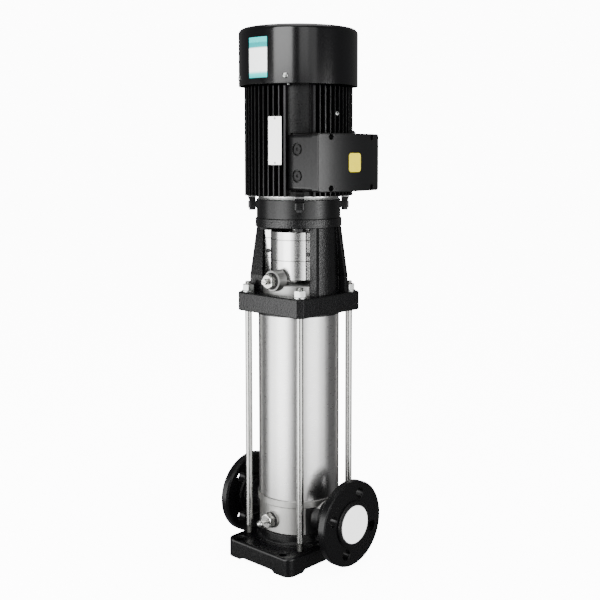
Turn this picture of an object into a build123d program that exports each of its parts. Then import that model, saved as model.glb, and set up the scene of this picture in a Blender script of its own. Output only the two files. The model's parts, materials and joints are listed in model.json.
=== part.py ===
from build123d import *
from math import cos, radians, sin
import os

os.makedirs("parts", exist_ok=True)

# Vertical multistage pump with its motor on top.
# Origin: centre of the base plate's underside, on the floor.  +Z runs up the shaft,
# +X leaves the discharge port, -X leaves the suction port, -Y is the plug side.
# All sizes are in millimetres.

# ------------------------------------------------------------------ driving dimensions
# Ports and loose flanges (DN 32, four bolts)
face_to_face = 250.0
port_z = 75.0
port_bore_r = 17.5
stub_r = 25.0
neck_weld_x = 70.0
neck_root_r = 30.2
flange_r = 70.0
flange_thickness = 17.6
flange_pitch_r = 50.0
flange_hole_r = 9.0
flange_back_x = 104.1
collar_r = 38.0
collar_lip = 3.0
discharge_bolt_phase = -18.8
suction_bolt_phase = 45.0
cap_r = 30.75
cap_thickness = 2.4

# Base plate
base_x = 147.0
base_y = 202.0
base_top_z = 31.0
base_corner_r = 14.5
foot_height = 4.0
foot_length = 33.0
base_wall = 8.0
base_hole_x = 100.0
base_hole_y = 180.0
base_hole_r = 6.5
seat_z = 49.0

# Port chamber, outer sleeve and pump head
chamber_r = 67.0
chamber_inner_r = 63.0
rim_r = 70.0
rim_bottom_z = 95.0
rim_top_z = 107.0
cup_r = 50.0
cup_inner_r = 46.0
cup_top_z = 104.0
sleeve_r = 67.7
sleeve_inner_r = 66.2
sleeve_bottom_z = 101.0
sleeve_top_z = 417.0
gasket = 2.0
drain_x = 3.0
drain_z = 71.0
head_r = 60.0
head_flange_r = 69.0
head_top_z = 462.5
vent_x = 6.0
vent_z = 470.0
vent_face_y = 70.0

# Tie rods
rod_offset = 59.7
rod_r = 5.8
rod_foot_z = 9.0
rod_end_z = 463.5
nut_flats = 18.0

# Motor stool
plate_side = 143.0
plate_bottom_z = 415.0
plate_top_z = 446.0
plate_corner = 6.0
stool_ring_r = 72.0
stool_ring_z = 556.0
motor_face_z = 571.0
leg_outer_x = 68.0
leg_edge_y = 30.0
leg_wall_outer_r = 67.0
leg_wall_inner_r = 61.5
leg_foot_half_y = 47.5
leg_knee_z = 473.0
leg_top_half_y = 31.0
leg_rib = 7.0

# Coupling guards
guard_r = 47.0
guard_sheet = 1.0
guard_half_angle = 62.7
guard_bottom_z = 470.0
guard_top_z = 548.0
strip_width = 12.4
strip_splay = 25.0

# Shaft line
pump_shaft_r = 8.0
motor_shaft_r = 12.0
coupling_r = 31.0
coupling_bottom_z = 477.0
coupling_top_z = 545.0
shaft_joint_z = 508.0

# Stages
stage_count = 10
stage_pitch = 27.0
first_stage_z = 106.0
stage_r = 55.0
stage_wall = 1.6
impeller_r = 43.0
eye_r = 20.0
impeller_blades = 6
guide_vanes = 6

# Motor
shield_r = 70.0
shield_top_z = 606.0
frame_top_z = 795.0
frame_wall_r = 72.0
frame_bore_r = 65.2
fin_tip_r = 91.0
fin_bottom_z = 608.0
fin_bevel_r = 86.5
fin_bevel_z = 782.0
fin_pitch_deg = 6.0
fins_per_group = 11
land_r = 76.5
boss_bottom_z = 598.5
boss_half_width = 7.5
shield_bolt_r = 77.0
stator_bottom_z = 640.0
stator_top_z = 760.0
rotor_r = 40.0
air_gap = 0.4
bearing_r = 26.0
bearing_bore_r = 12.5
bearing_width = 15.0
lower_bearing_z = 584.0
upper_bearing_z = 797.0

# Fan cover
cover_r = 98.4
cover_sheet = 1.5
cover_bottom_z = 786.5
cover_top_z = 879.0
cover_corner_r = 8.0
cover_screw_z = 798.5
cover_screw_angle = 32.0

# Terminal box on the +X side
box_half_y = 70.0
box_bottom_z = 619.0
box_top_z = 706.5
box_back_x = 43.5
box_floor_x = 82.0
box_rim_x = 98.0
lid_back_x = 99.0
lid_edge_x = 112.0
lid_crown_x = 122.0
lid_half_y = 73.2
lid_bottom_z = 616.7
lid_top_z = 708.4
lid_screw_y = 49.0
lid_screw_dz = 40.0
plug_x = 64.0
plug_upper_z = 683.3
plug_lower_z = 641.5
entry_r = 8.2
entry_sink_r = 10.3
entry_sink = 3.0

box_mid_z = (lid_bottom_z + lid_top_z) / 2
port_axis = Axis((0, 0, port_z), (1, 0, 0))
port_face_x = face_to_face / 2
collar_back_x = port_face_x - collar_lip
diagonals = [45.0, 135.0, 225.0, 315.0]


# ------------------------------------------------------------------ shared operations
def ring(outer_r, inner_r, bottom_z, top_z, mode=Mode.ADD):
    """A plain upright ring, added to or cut from the open part."""
    with BuildSketch(Plane.XY.offset(bottom_z)) as section:
        Circle(outer_r)
        if inner_r > 0:
            Circle(inner_r, mode=Mode.SUBTRACT)
    extrude(section.sketch, amount=top_z - bottom_z, mode=mode)


def turned(points, axis=Axis.Z, mode=Mode.ADD):
    """A body turned from a closed half-section given as (x or radius, z) points."""
    with BuildSketch(Plane.XZ) as section:
        with BuildLine():
            Polyline(*points, close=True)
        make_face()
    revolve(section.sketch, axis=axis, mode=mode)


def bolt(plane, shank_r, shank_length, head_flats, head_height):
    """A hexagon bolt: head on the plane's +Z side, shank on its -Z side."""
    with BuildSketch(plane) as head:
        RegularPolygon(head_flats / 2, 6, major_radius=False)
    extrude(head.sketch, amount=head_height)
    with BuildSketch(plane) as shank:
        Circle(shank_r)
    extrude(shank.sketch, amount=-shank_length)


def screw(plane, shank_r, shank_length, head_r, head_height):
    """A round-headed screw: head on the plane's +Z side, shank on its -Z side."""
    with BuildSketch(plane) as head:
        Circle(head_r)
    extrude(head.sketch, amount=head_height)
    with BuildSketch(plane) as shank:
        Circle(shank_r)
    extrude(shank.sketch, amount=-shank_length)


def polar_plane(angle, radius, z, outward=True):
    """A plane at a polar place on an upright wall, facing outward or inward."""
    direction = (cos(radians(angle)), sin(radians(angle)), 0)
    sign = 1 if outward else -1
    normal = (sign * direction[0], sign * direction[1], 0)
    return Plane(origin=(radius * direction[0], radius * direction[1], z), x_dir=(0, 0, 1), z_dir=normal)


# ------------------------------------------------------------------ base plate
# Cast-iron base: rounded slab on four corner feet, a stepped round seat on top, and a
# hollow underside with a centre boss, four ribs and a boss round every bolt.
with BuildPart() as base_plate:
    with BuildSketch():
        RectangleRounded(base_x, base_y, base_corner_r)
    extrude(amount=base_top_z)
    fillet(base_plate.faces().sort_by(Axis.Z)[-1].edges(), 4.0)
    seat_step_z = 38.0
    turned([(0, base_top_z - 2), (72.5, base_top_z - 2), (72.5, 35.0), (70.0, seat_step_z), (69.0, seat_step_z),
            (69.0, seat_z - 1), (68.0, seat_z), (0, seat_z)])
    # Sloped channels under the edges leave a foot at each corner.
    for plane, side in ((Plane.XZ, base_x), (Plane.YZ, base_y)):
        with BuildSketch(plane):
            with BuildLine():
                Polyline((foot_length - side / 2, 0), (foot_length + 6 - side / 2, foot_height),
                         (side / 2 - foot_length - 6, foot_height), (side / 2 - foot_length, 0), close=True)
            make_face()
        extrude(amount=base_y, both=True, mode=Mode.SUBTRACT)
    with BuildSketch():
        RectangleRounded(base_x - 2 * base_wall, base_y - 2 * base_wall, base_corner_r - base_wall)
        Circle(44.0, mode=Mode.SUBTRACT)
        Rectangle(8.0, base_y, mode=Mode.SUBTRACT)
        Rectangle(base_x, 8.0, mode=Mode.SUBTRACT)
        with GridLocations(base_hole_x, base_hole_y, 2, 2):
            Circle(13.0, mode=Mode.SUBTRACT)
        with GridLocations(2 * rod_offset, 2 * rod_offset, 2, 2):
            Circle(12.5, mode=Mode.SUBTRACT)
    extrude(amount=base_top_z - 10, mode=Mode.SUBTRACT)
    with Locations((0, 0, base_top_z)):
        with GridLocations(base_hole_x, base_hole_y, 2, 2):
            CounterBoreHole(base_hole_r, 11.5, 1.0)
        with GridLocations(2 * rod_offset, 2 * rod_offset, 2, 2):
            Hole(rod_r + 0.1, depth=base_top_z - rod_foot_z + 0.5)

# ------------------------------------------------------------------ port chamber
# Satin stainless casting: round body with a stepped rim, the root of a neck to each port,
# and an inner cup that leads the suction side to the first stage.
with BuildPart() as port_chamber:
    turned([(0, seat_z), (66.0, seat_z), (chamber_r, seat_z + 1), (chamber_r, rim_bottom_z - 1),
            (66.0, rim_bottom_z - 0.6), (66.0, rim_bottom_z + 0.6), (rim_r, rim_bottom_z + 1),
            (rim_r, rim_top_z - 1), (rim_r - 1, rim_top_z), (0, rim_top_z)])
    # Root of each neck, up to the weld with the port neck.
    for side in (1, -1):
        turned([(side * 45, port_z), (side * 45, port_z + 37), (side * 60, port_z + 32.4),
                (side * neck_weld_x, port_z + neck_root_r), (side * neck_weld_x, port_z)], axis=port_axis)
    ring(74.0, 0, 30, seat_z, mode=Mode.SUBTRACT)
    # Discharge annulus round the suction cup, the cup itself and the seat of the sleeve.
    ring(chamber_inner_r, cup_r, seat_z + 6, 130, mode=Mode.SUBTRACT)
    ring(cup_inner_r, 0, seat_z + 6, 130, mode=Mode.SUBTRACT)
    ring(68.0, 0, cup_top_z, 130, mode=Mode.SUBTRACT)
    ring(68.0, cup_r, sleeve_bottom_z - gasket, 130, mode=Mode.SUBTRACT)
    # The suction passage crosses the annulus in its own tube.
    with BuildSketch(Plane.YZ.offset(-chamber_inner_r - 1)):
        with Locations((0, port_z)):
            Circle(21.5)
    extrude(amount=chamber_inner_r - cup_inner_r + 4)
    with BuildSketch(Plane.YZ.offset(-port_face_x)):
        with Locations((0, port_z)):
            Circle(port_bore_r)
    extrude(amount=port_face_x - cup_inner_r + 8, mode=Mode.SUBTRACT)
    with BuildSketch(Plane.YZ.offset(port_face_x)):
        with Locations((0, port_z)):
            Circle(port_bore_r)
    extrude(amount=chamber_inner_r - 4 - port_face_x, mode=Mode.SUBTRACT)
    # Drain boss with its threaded hole.
    with BuildSketch(Plane.XZ.offset(64.5)):
        with Locations((drain_x, drain_z)):
            Circle(14.0)
    extrude(amount=5.0)
    with BuildSketch(Plane.XZ.offset(69.5)):
        with Locations((drain_x, drain_z)):
            Circle(8.1)
    extrude(amount=-10.0, mode=Mode.SUBTRACT)


# ------------------------------------------------------------------ ports
def port_neck(side):
    """Black neck on the chamber's root: flare, stop ring and the plain stub under the flange."""
    with BuildPart() as neck:
        with BuildSketch(Plane.XZ):
            with BuildLine():
                root = Line((side * neck_weld_x, port_z + port_bore_r), (side * neck_weld_x, port_z + neck_root_r))
                flare = ThreePointArc(root @ 1, (side * 81, port_z + 28.6), (side * 92, port_z + 28))
                Polyline(flare @ 1, (side * 98, port_z + 28), (side * 99.5, port_z + 34),
                         (side * 103.7, port_z + 34), (side * 103.7, port_z + stub_r),
                         (side * (port_face_x - 1), port_z + stub_r),
                         (side * (port_face_x - 1), port_z + port_bore_r), root @ 0)
            make_face()
        revolve(axis=port_axis)
    return neck


def port_collar(side):
    """Lap ring screwed on a port stub; the loose flange turns on its sleeve."""
    with BuildPart() as collar:
        turned([(side * flange_back_x, port_z + stub_r + 0.1), (side * flange_back_x, port_z + 30.9),
                (side * collar_back_x, port_z + 30.9), (side * collar_back_x, port_z + collar_r),
                (side * (port_face_x - 1), port_z + collar_r), (side * port_face_x, port_z + collar_r - 1),
                (side * port_face_x, port_z + 32), (side * (port_face_x - 1), port_z + 31),
                (side * (port_face_x - 1), port_z + stub_r + 0.1)], axis=port_axis)
    return collar


def loose_flange(side, bolt_phase):
    """Cast-iron flange ring with a tapered back hub and four bolt holes."""
    front_x = side * (flange_back_x + flange_thickness)
    back_x = side * (flange_back_x + 2.0)
    with BuildPart() as flange:
        turned([(side * flange_back_x, port_z + 31.2), (side * flange_back_x, port_z + 37.5),
                (back_x, port_z + 40.5), (back_x, port_z + flange_r - 3), (back_x + side * 3, port_z + flange_r),
                (front_x - side * 1.5, port_z + flange_r), (front_x, port_z + flange_r - 1.5),
                (front_x, port_z + 31.2)], axis=port_axis)
        face = Plane(origin=(front_x, 0, port_z), x_dir=(0, 1, 0), z_dir=(side, 0, 0))
        with Locations(face):
            with PolarLocations(flange_pitch_r, 4, start_angle=bolt_phase):
                Hole(flange_hole_r)
    return flange


def port_cap(side):
    """Push-in transit cap: a disc over the port face with a hollow plug in the bore."""
    back_x = side * (port_face_x + 0.1)
    front_x = back_x + side * cap_thickness
    with BuildPart() as cap:
        turned([(back_x, port_z + 15.0), (back_x - side * 14, port_z + 15.0),
                (back_x - side * 14, port_z + 16.6), (back_x - side * 12, port_z + 17.2),
                (back_x, port_z + 17.2), (back_x, port_z + cap_r), (front_x - side * 0.8, port_z + cap_r),
                (front_x, port_z + cap_r - 0.8), (front_x, port_z), (back_x, port_z)], axis=port_axis)
    return cap


discharge_neck = port_neck(1)
suction_neck = port_neck(-1)
discharge_collar = port_collar(1)
suction_collar = port_collar(-1)
discharge_flange = loose_flange(1, discharge_bolt_phase)
suction_flange = loose_flange(-1, suction_bolt_phase)
discharge_cap = port_cap(1)
suction_cap = port_cap(-1)

# ------------------------------------------------------------------ drain plug
drain_face = Plane(origin=(drain_x, -69.5, drain_z), x_dir=(1, 0, 0), z_dir=(0, -1, 0))

with BuildPart() as drain_washer:
    with BuildSketch(drain_face):
        Circle(13.0)
        Circle(8.3, mode=Mode.SUBTRACT)
    extrude(amount=2.0)

with BuildPart() as drain_plug:
    bolt(drain_face.offset(2.0), 8.0, 10.0, 22.0, 11.0)
    chamfer(drain_plug.faces().sort_by(Axis.Y)[0].edges(), 1.0)
    with BuildSketch(drain_face.offset(13.0)):
        Circle(2.6)
    extrude(amount=-12.0, mode=Mode.SUBTRACT)

with BuildPart() as drain_screw:
    with BuildSketch(drain_face.offset(16.0)):
        Circle(4.6)
    extrude(amount=9.0)
    with BuildSketch(drain_face.offset(16.0)):
        Circle(2.5)
    extrude(amount=-12.0)
    chamfer(drain_screw.faces().sort_by(Axis.Y)[0].edges(), 1.0)

# ------------------------------------------------------------------ sleeve and gaskets
with BuildPart() as outer_sleeve:
    ring(sleeve_r, sleeve_inner_r, sleeve_bottom_z, sleeve_top_z)

with BuildPart() as lower_gasket:
    ring(67.8, 63.2, sleeve_bottom_z - gasket, sleeve_bottom_z)

with BuildPart() as upper_gasket:
    ring(68.8, 66.0, sleeve_top_z, sleeve_top_z + gasket)

# ------------------------------------------------------------------ pump head
# Round head over the sleeve: spigot into the sleeve, clamped flange, raised wall, seal
# housing in the middle and the vent boss on the plug side.
head_flange_top_z = 430.0
with BuildPart() as pump_head:
    turned([(12.0, head_top_z), (head_r - 1.5, head_top_z), (head_r, head_top_z - 1.5),
            (head_r, head_flange_top_z), (head_flange_r, head_flange_top_z), (head_flange_r, sleeve_top_z + gasket),
            (65.9, sleeve_top_z + gasket), (65.9, 404.0), (60.0, 404.0), (54.0, 412.0), (54.0, 452.0),
            (26.0, 452.0), (26.0, 426.0), (20.1, 426.0), (20.1, 455.0), (12.0, 455.0)])
    with BuildSketch(Plane.XZ.offset(51.0)):
        with Locations((vent_x, vent_z)):
            Circle(17.5)
    extrude(amount=vent_face_y - 51.0)
    fillet(pump_head.edges().filter_by(GeomType.CIRCLE).sort_by(Axis.Y)[0], 1.2)
    with BuildSketch(Plane.XZ.offset(vent_face_y)):
        with Locations((vent_x, vent_z)):
            Circle(9.1)
    extrude(amount=-13.0, mode=Mode.SUBTRACT)

vent_face = Plane(origin=(vent_x, -vent_face_y, vent_z), x_dir=(1, 0, 0), z_dir=(0, -1, 0))

with BuildPart() as vent_washer:
    with BuildSketch(vent_face):
        Circle(14.0)
        Circle(9.3, mode=Mode.SUBTRACT)
    extrude(amount=1.5)

with BuildPart() as vent_plug:
    bolt(vent_face.offset(1.5), 9.0, 11.0, 22.0, 9.0)
    chamfer(vent_plug.faces().sort_by(Axis.Y)[0].edges(), 1.0)
    with BuildSketch(vent_face.offset(10.5)):
        Circle(3.1)
    extrude(amount=-10.0, mode=Mode.SUBTRACT)

with BuildPart() as vent_screw:
    with BuildSketch(vent_face.offset(13.0)):
        Circle(5.0)
    extrude(amount=5.0)
    with BuildSketch(vent_face.offset(13.0)):
        Circle(3.0)
    extrude(amount=-10.0)
    with BuildSketch(vent_face.offset(18.0)):
        Rectangle(10.2, 1.4)
    extrude(amount=-1.6, mode=Mode.SUBTRACT)

# ------------------------------------------------------------------ tie rods
with BuildPart() as tie_rods:
    with BuildSketch(Plane.XY.offset(rod_foot_z)):
        with GridLocations(2 * rod_offset, 2 * rod_offset, 2, 2):
            Circle(rod_r)
    extrude(amount=rod_end_z - rod_foot_z)
    chamfer(tie_rods.faces().filter_by(Axis.Z).edges(), 1.0)

with BuildPart() as tie_rod_washers:
    with BuildSketch(Plane.XY.offset(plate_top_z)):
        with GridLocations(2 * rod_offset, 2 * rod_offset, 2, 2):
            Circle(11.5)
            Circle(rod_r + 0.3, mode=Mode.SUBTRACT)
    extrude(amount=2.2)

with BuildPart() as tie_rod_nuts:
    with BuildSketch(Plane.XY.offset(plate_top_z + 2.2)):
        with GridLocations(2 * rod_offset, 2 * rod_offset, 2, 2):
            RegularPolygon(nut_flats / 2, 6, major_radius=False)
            Circle(rod_r + 0.1, mode=Mode.SUBTRACT)
    extrude(amount=10.3)

# ------------------------------------------------------------------ motor stool
# Cast lantern: square plate, two curved legs edged with ribs, and a round top flange.
# Its two windows face -Y and +Y; turned half a turn, the stool looks the same.
guard_root_angle = radians(guard_half_angle)
strip_root = (guard_r * sin(guard_root_angle), guard_r * cos(guard_root_angle))
strip_dir = (cos(radians(strip_splay)), sin(radians(strip_splay)))
strip_normal = (-strip_dir[1], strip_dir[0])
strip_screw_step = 6.2
guard_mid_z = (guard_bottom_z + guard_top_z) / 2 + 4.0


def strip_plane(x_side, y_side, step, gap):
    """Plane on a guard strip, a step out from its root, lifted by a gap; it faces out."""
    x = x_side * (strip_root[0] + step * strip_dir[0] + gap * strip_normal[0])
    y = y_side * (strip_root[1] + step * strip_dir[1] + gap * strip_normal[1])
    normal = (x_side * strip_normal[0], y_side * strip_normal[1], 0)
    return Plane(origin=(x, y, guard_mid_z), x_dir=(0, 0, 1), z_dir=normal)


def leg_outline(side, inset):
    """Leg seen along X: one edge is upright, the other has a straight foot and then tapers."""
    edge = side * (leg_edge_y - inset)
    foot = side * (leg_foot_half_y - inset)
    top = side * (leg_top_half_y - inset)
    with BuildLine() as outline:
        Polyline((-edge, plate_top_z - 1), (foot, plate_top_z - 1), (foot, leg_knee_z), (top, stool_ring_z + 1),
                 (-edge, stool_ring_z + 1), close=True)
    make_face(outline.edges())


with BuildPart() as leg_pocket:
    for side in (1, -1):
        with BuildSketch(Plane.YZ):
            leg_outline(side, leg_rib)
        extrude(amount=side * (leg_outer_x + 1))
    ring(leg_wall_outer_r, 0, plate_top_z - 2, stool_ring_z + 2, mode=Mode.SUBTRACT)

with BuildPart() as motor_stool:
    for side in (1, -1):
        with BuildSketch(Plane.YZ):
            leg_outline(side, 0)
        extrude(amount=side * leg_outer_x)
    add(leg_pocket.part, mode=Mode.SUBTRACT)
    ring(leg_wall_inner_r, 0, plate_top_z - 2, stool_ring_z + 2, mode=Mode.SUBTRACT)
    with BuildSketch(Plane.XY.offset(plate_bottom_z)) as stool_plate:
        Rectangle(plate_side, plate_side)
        chamfer(stool_plate.vertices(), plate_corner)
    extrude(amount=plate_top_z - plate_bottom_z)
    ring(leg_wall_inner_r, 0, plate_bottom_z - 1, plate_top_z + 1, mode=Mode.SUBTRACT)
    ring(head_flange_r + 0.3, 0, plate_bottom_z - 1, head_flange_top_z, mode=Mode.SUBTRACT)
    ring(71.3, 68.4, plate_bottom_z - 3, plate_bottom_z)
    turned([(48.5, stool_ring_z), (stool_ring_r - 1, stool_ring_z), (stool_ring_r, stool_ring_z + 1),
            (stool_ring_r, motor_face_z - 1), (stool_ring_r - 1, motor_face_z), (48.5, motor_face_z)])
    # Lugs behind the guard strips carry the guard screws.
    for x_side in (1, -1):
        for y_side in (1, -1):
            with BuildSketch(strip_plane(x_side, y_side, 10.5, -0.6)):
                Rectangle(16.0, 13.0)
            extrude(amount=-6.0)
    with Locations((0, 0, plate_top_z)):
        with GridLocations(2 * rod_offset, 2 * rod_offset, 2, 2):
            Hole(rod_r + 0.7)
    with Locations((0, 0, motor_face_z)):
        with PolarLocations(57.5, 4, start_angle=45):
            Hole(4.5)
    for x_side in (1, -1):
        for y_side in (1, -1):
            with BuildSketch(strip_plane(x_side, y_side, strip_screw_step, 1)):
                Circle(2.1)
            extrude(amount=-9.0, mode=Mode.SUBTRACT)


# ------------------------------------------------------------------ coupling guards
def coupling_guard(y_side):
    """Bent sheet over a stool window: half-round shell with two splayed side strips."""
    inner_r = guard_r - guard_sheet
    reach = guard_r + 5
    wedge_x = reach * sin(guard_root_angle)
    wedge_y = reach * cos(guard_root_angle)
    with BuildPart() as guard:
        with BuildSketch(Plane.XY.offset(guard_bottom_z)):
            Circle(guard_r)
            Circle(inner_r, mode=Mode.SUBTRACT)
            with BuildLine():
                Polyline((0, 0), (wedge_x, y_side * wedge_y), (wedge_x, y_side * reach),
                         (-wedge_x, y_side * reach), (-wedge_x, y_side * wedge_y), close=True)
            make_face(mode=Mode.INTERSECT)
            for x_side in (1, -1):
                mid_x = x_side * (strip_root[0] + strip_dir[0] * (strip_width - 0.8) / 2)
                mid_y = y_side * (strip_root[1] + strip_dir[1] * (strip_width - 0.8) / 2)
                with Locations(Location((mid_x, mid_y, 0), (0, 0, x_side * y_side * strip_splay))):
                    Rectangle(strip_width + 0.8, guard_sheet)
        extrude(amount=guard_top_z - guard_bottom_z)
        for x_side in (1, -1):
            with BuildSketch(strip_plane(x_side, y_side, strip_screw_step, 2)):
                Circle(2.4)
            extrude(amount=-4.0, mode=Mode.SUBTRACT)
    return guard


guard_front = coupling_guard(-1)
guard_rear = coupling_guard(1)

with BuildPart() as guard_screws:
    for x_side in (1, -1):
        for y_side in (1, -1):
            screw(strip_plane(x_side, y_side, strip_screw_step, 0.55), 2.0, 7.0, 3.6, 2.0)


# ------------------------------------------------------------------ coupling
def coupling_half(y_side):
    """Half of the rigid clamp coupling, bored for the motor shaft above and pump shaft below."""
    with BuildPart() as half:
        ring(coupling_r, 0, coupling_bottom_z, coupling_top_z)
        ring(pump_shaft_r + 0.02, 0, coupling_bottom_z, shaft_joint_z, mode=Mode.SUBTRACT)
        ring(motor_shaft_r + 0.02, 0, shaft_joint_z, coupling_top_z, mode=Mode.SUBTRACT)
        with BuildSketch(Plane.XY.offset(coupling_bottom_z)):
            with Locations((0, y_side * (1.0 - coupling_r))):
                Rectangle(2 * coupling_r, 2 * coupling_r)
        extrude(amount=coupling_top_z - coupling_bottom_z, mode=Mode.SUBTRACT)
        with Locations(Plane(origin=(0, y_side * coupling_r, 511.0), x_dir=(1, 0, 0), z_dir=(0, y_side, 0))):
            with GridLocations(40.0, 42.0, 2, 2):
                CounterBoreHole(3.3, 5.4, 15.0)
    return half


coupling_half_front = coupling_half(-1)
coupling_half_rear = coupling_half(1)

with BuildPart() as coupling_bolts:
    for x in (-20.0, 20.0):
        for z in (490.0, 532.0):
            socket_face = Plane(origin=(x, -coupling_r + 15.0, z), x_dir=(1, 0, 0), z_dir=(0, -1, 0))
            screw(socket_face, 3.0, 28.0, 5.0, 6.0)

# ------------------------------------------------------------------ shaft line
with BuildPart() as pump_shaft:
    turned([(0, 92.0), (pump_shaft_r - 1.5, 92.0), (pump_shaft_r, 94.0),
            (pump_shaft_r, shaft_joint_z - 3), (pump_shaft_r - 1, shaft_joint_z - 2), (0, shaft_joint_z - 2)])

with BuildPart() as motor_shaft:
    turned([(0, shaft_joint_z), (motor_shaft_r - 1, shaft_joint_z), (motor_shaft_r, shaft_joint_z + 1),
            (motor_shaft_r, 575.0), (bearing_bore_r, 576.0), (bearing_bore_r, 601.0), (16.0, 603.0),
            (16.0, 795.0), (bearing_bore_r, 796.0), (bearing_bore_r, 814.0), (10.0, 815.0), (10.0, 842.0), (0, 842.0)])

with BuildPart() as seal_seat:
    ring(20.0, 9.5, 446.5, 454.9)

with BuildPart() as seal_rotor:
    turned([(pump_shaft_r + 0.05, 421.0), (13.0, 421.0), (13.0, 428.0), (17.0, 430.0), (17.0, 442.0),
            (14.0, 443.0), (14.0, 446.4), (pump_shaft_r + 0.05, 446.4)])

with BuildPart() as seal_gland:
    with BuildSketch(Plane.XY.offset(head_top_z)):
        RegularPolygon(17.0, 6, major_radius=False)
        Circle(9.0, mode=Mode.SUBTRACT)
    extrude(amount=7.0)


# ------------------------------------------------------------------ stages
def stage_plane(stage, height):
    return Plane.XY.offset(first_stage_z + stage * stage_pitch + height)


def curved_blade(inner_r, outer_r, wrap, thickness):
    """Backward-curved blade seen along the shaft, as a strip round an arc."""
    with BuildLine() as blade:
        start = (inner_r, 0)
        end = (outer_r * cos(radians(wrap)), outer_r * sin(radians(wrap)))
        mid_r = 0.5 * (inner_r + outer_r)
        middle = (mid_r * cos(radians(0.36 * wrap)), mid_r * sin(radians(0.36 * wrap)))
        ThreePointArc(start, middle, end)
    trace(blade.edges(), thickness)


with BuildPart() as impellers:
    for stage in range(stage_count):
        with BuildSketch(stage_plane(stage, 4.0)) as front_shroud:
            Circle(impeller_r)
            Circle(eye_r, mode=Mode.SUBTRACT)
        extrude(front_shroud.sketch, amount=1.4)
        with BuildSketch(stage_plane(stage, 0.8)) as neck:
            Circle(eye_r + 1.4)
            Circle(eye_r, mode=Mode.SUBTRACT)
        extrude(neck.sketch, amount=4.0)
        with BuildSketch(stage_plane(stage, 12.0)) as back_shroud:
            Circle(impeller_r)
            Circle(pump_shaft_r + 0.05, mode=Mode.SUBTRACT)
        extrude(back_shroud.sketch, amount=1.4)
        with BuildSketch(stage_plane(stage, 1.0)) as hub:
            Circle(12.0)
            Circle(pump_shaft_r + 0.05, mode=Mode.SUBTRACT)
        extrude(hub.sketch, amount=stage_pitch - 0.2)
        with BuildSketch(stage_plane(stage, 5.2)) as blades:
            for blade in range(impeller_blades):
                with Locations(Location((0, 0, 0), (0, 0, blade * 360 / impeller_blades))):
                    curved_blade(15.0, impeller_r - 0.5, 62.0, 1.6)
        extrude(blades.sketch, amount=7.0)

with BuildPart() as stage_chambers:
    for stage in range(stage_count):
        with BuildSketch(stage_plane(stage, 0.0)) as wall:
            Circle(stage_r)
            Circle(stage_r - stage_wall, mode=Mode.SUBTRACT)
        extrude(wall.sketch, amount=stage_pitch - 0.1)
        with BuildSketch(stage_plane(stage, 0.0)) as floor:
            Circle(stage_r - 0.5)
            Circle(eye_r + 1.9, mode=Mode.SUBTRACT)
        extrude(floor.sketch, amount=2.0)

with BuildPart() as clamp_straps:
    for x_side in (1, -1):
        with BuildSketch(Plane.XY.offset(first_stage_z)):
            with Locations((x_side * (stage_r + 2.0), 0)):
                Rectangle(2.0, 16.0)
        extrude(amount=stage_count * stage_pitch + 8)

# ------------------------------------------------------------------ motor end shields
# Drive-end shield: flanged ring with four bolt ears and the lower bearing housing.
with BuildPart() as drive_end_shield:
    turned([(14.0, motor_face_z), (48.0, motor_face_z), (shield_r, motor_face_z), (shield_r, 601.0),
            (shield_r - 4.5, shield_top_z), (60.0, shield_top_z), (60.0, 584.0), (32.0, 584.0), (32.0, 601.0),
            (bearing_r + 0.05, 601.0), (bearing_r + 0.05, lower_bearing_z), (20.0, lower_bearing_z), (20.0, 580.0),
            (14.0, 580.0)])
    with BuildSketch(Plane.XY.offset(587.0)):
        with PolarLocations(74.0, 4, start_angle=45):
            RectangleRounded(20.0, 17.0, 4.0)
    extrude(amount=11.0)
    ring(60.0, 32.0, 584.0, shield_top_z + 1, mode=Mode.SUBTRACT)
    with Locations((0, 0, 598.0)):
        with PolarLocations(shield_bolt_r, 4, start_angle=45):
            Hole(3.2)
    with Locations(Plane(origin=(0, 0, motor_face_z), z_dir=(0, 0, -1))):
        with PolarLocations(57.5, 4, start_angle=45):
            Hole(4.1, depth=13.0)

lug_reach = cover_r - cover_sheet - 0.6
with BuildPart() as fan_end_shield:
    turned([(18.0, 795.0), (60.0, 795.0), (60.0, frame_top_z + 0.1), (72.0, frame_top_z + 0.1), (76.0, 797.0),
            (76.0, 802.0), (60.0, 804.0), (34.0, 806.0), (32.0, 814.0), (bearing_r + 0.05, 814.0),
            (bearing_r + 0.05, upper_bearing_z), (18.0, upper_bearing_z)])
    for y_side in (1, -1):
        for swing in (-cover_screw_angle, cover_screw_angle):
            with BuildSketch(polar_plane(y_side * 90 + swing, 70.0, cover_screw_z)):
                with Locations((1.2, 0)):
                    Rectangle(8.6, 14.0)
            extrude(amount=lug_reach - 70.0)
            with BuildSketch(polar_plane(y_side * 90 + swing, lug_reach, cover_screw_z)):
                Circle(2.1)
            extrude(amount=-12.0, mode=Mode.SUBTRACT)

with BuildPart() as stool_bolts:
    for angle in diagonals:
        x = 57.5 * cos(radians(angle))
        y = 57.5 * sin(radians(angle))
        bolt(Plane(origin=(x, y, stool_ring_z), z_dir=(0, 0, -1)), 4.0, 26.0, 13.0, 5.5)

with BuildPart() as shield_bolts:
    for angle in diagonals:
        x = shield_bolt_r * cos(radians(angle))
        y = shield_bolt_r * sin(radians(angle))
        bolt(Plane(origin=(x, y, 587.0), z_dir=(0, 0, -1)), 3.0, 28.0, 10.0, 4.0)

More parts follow.
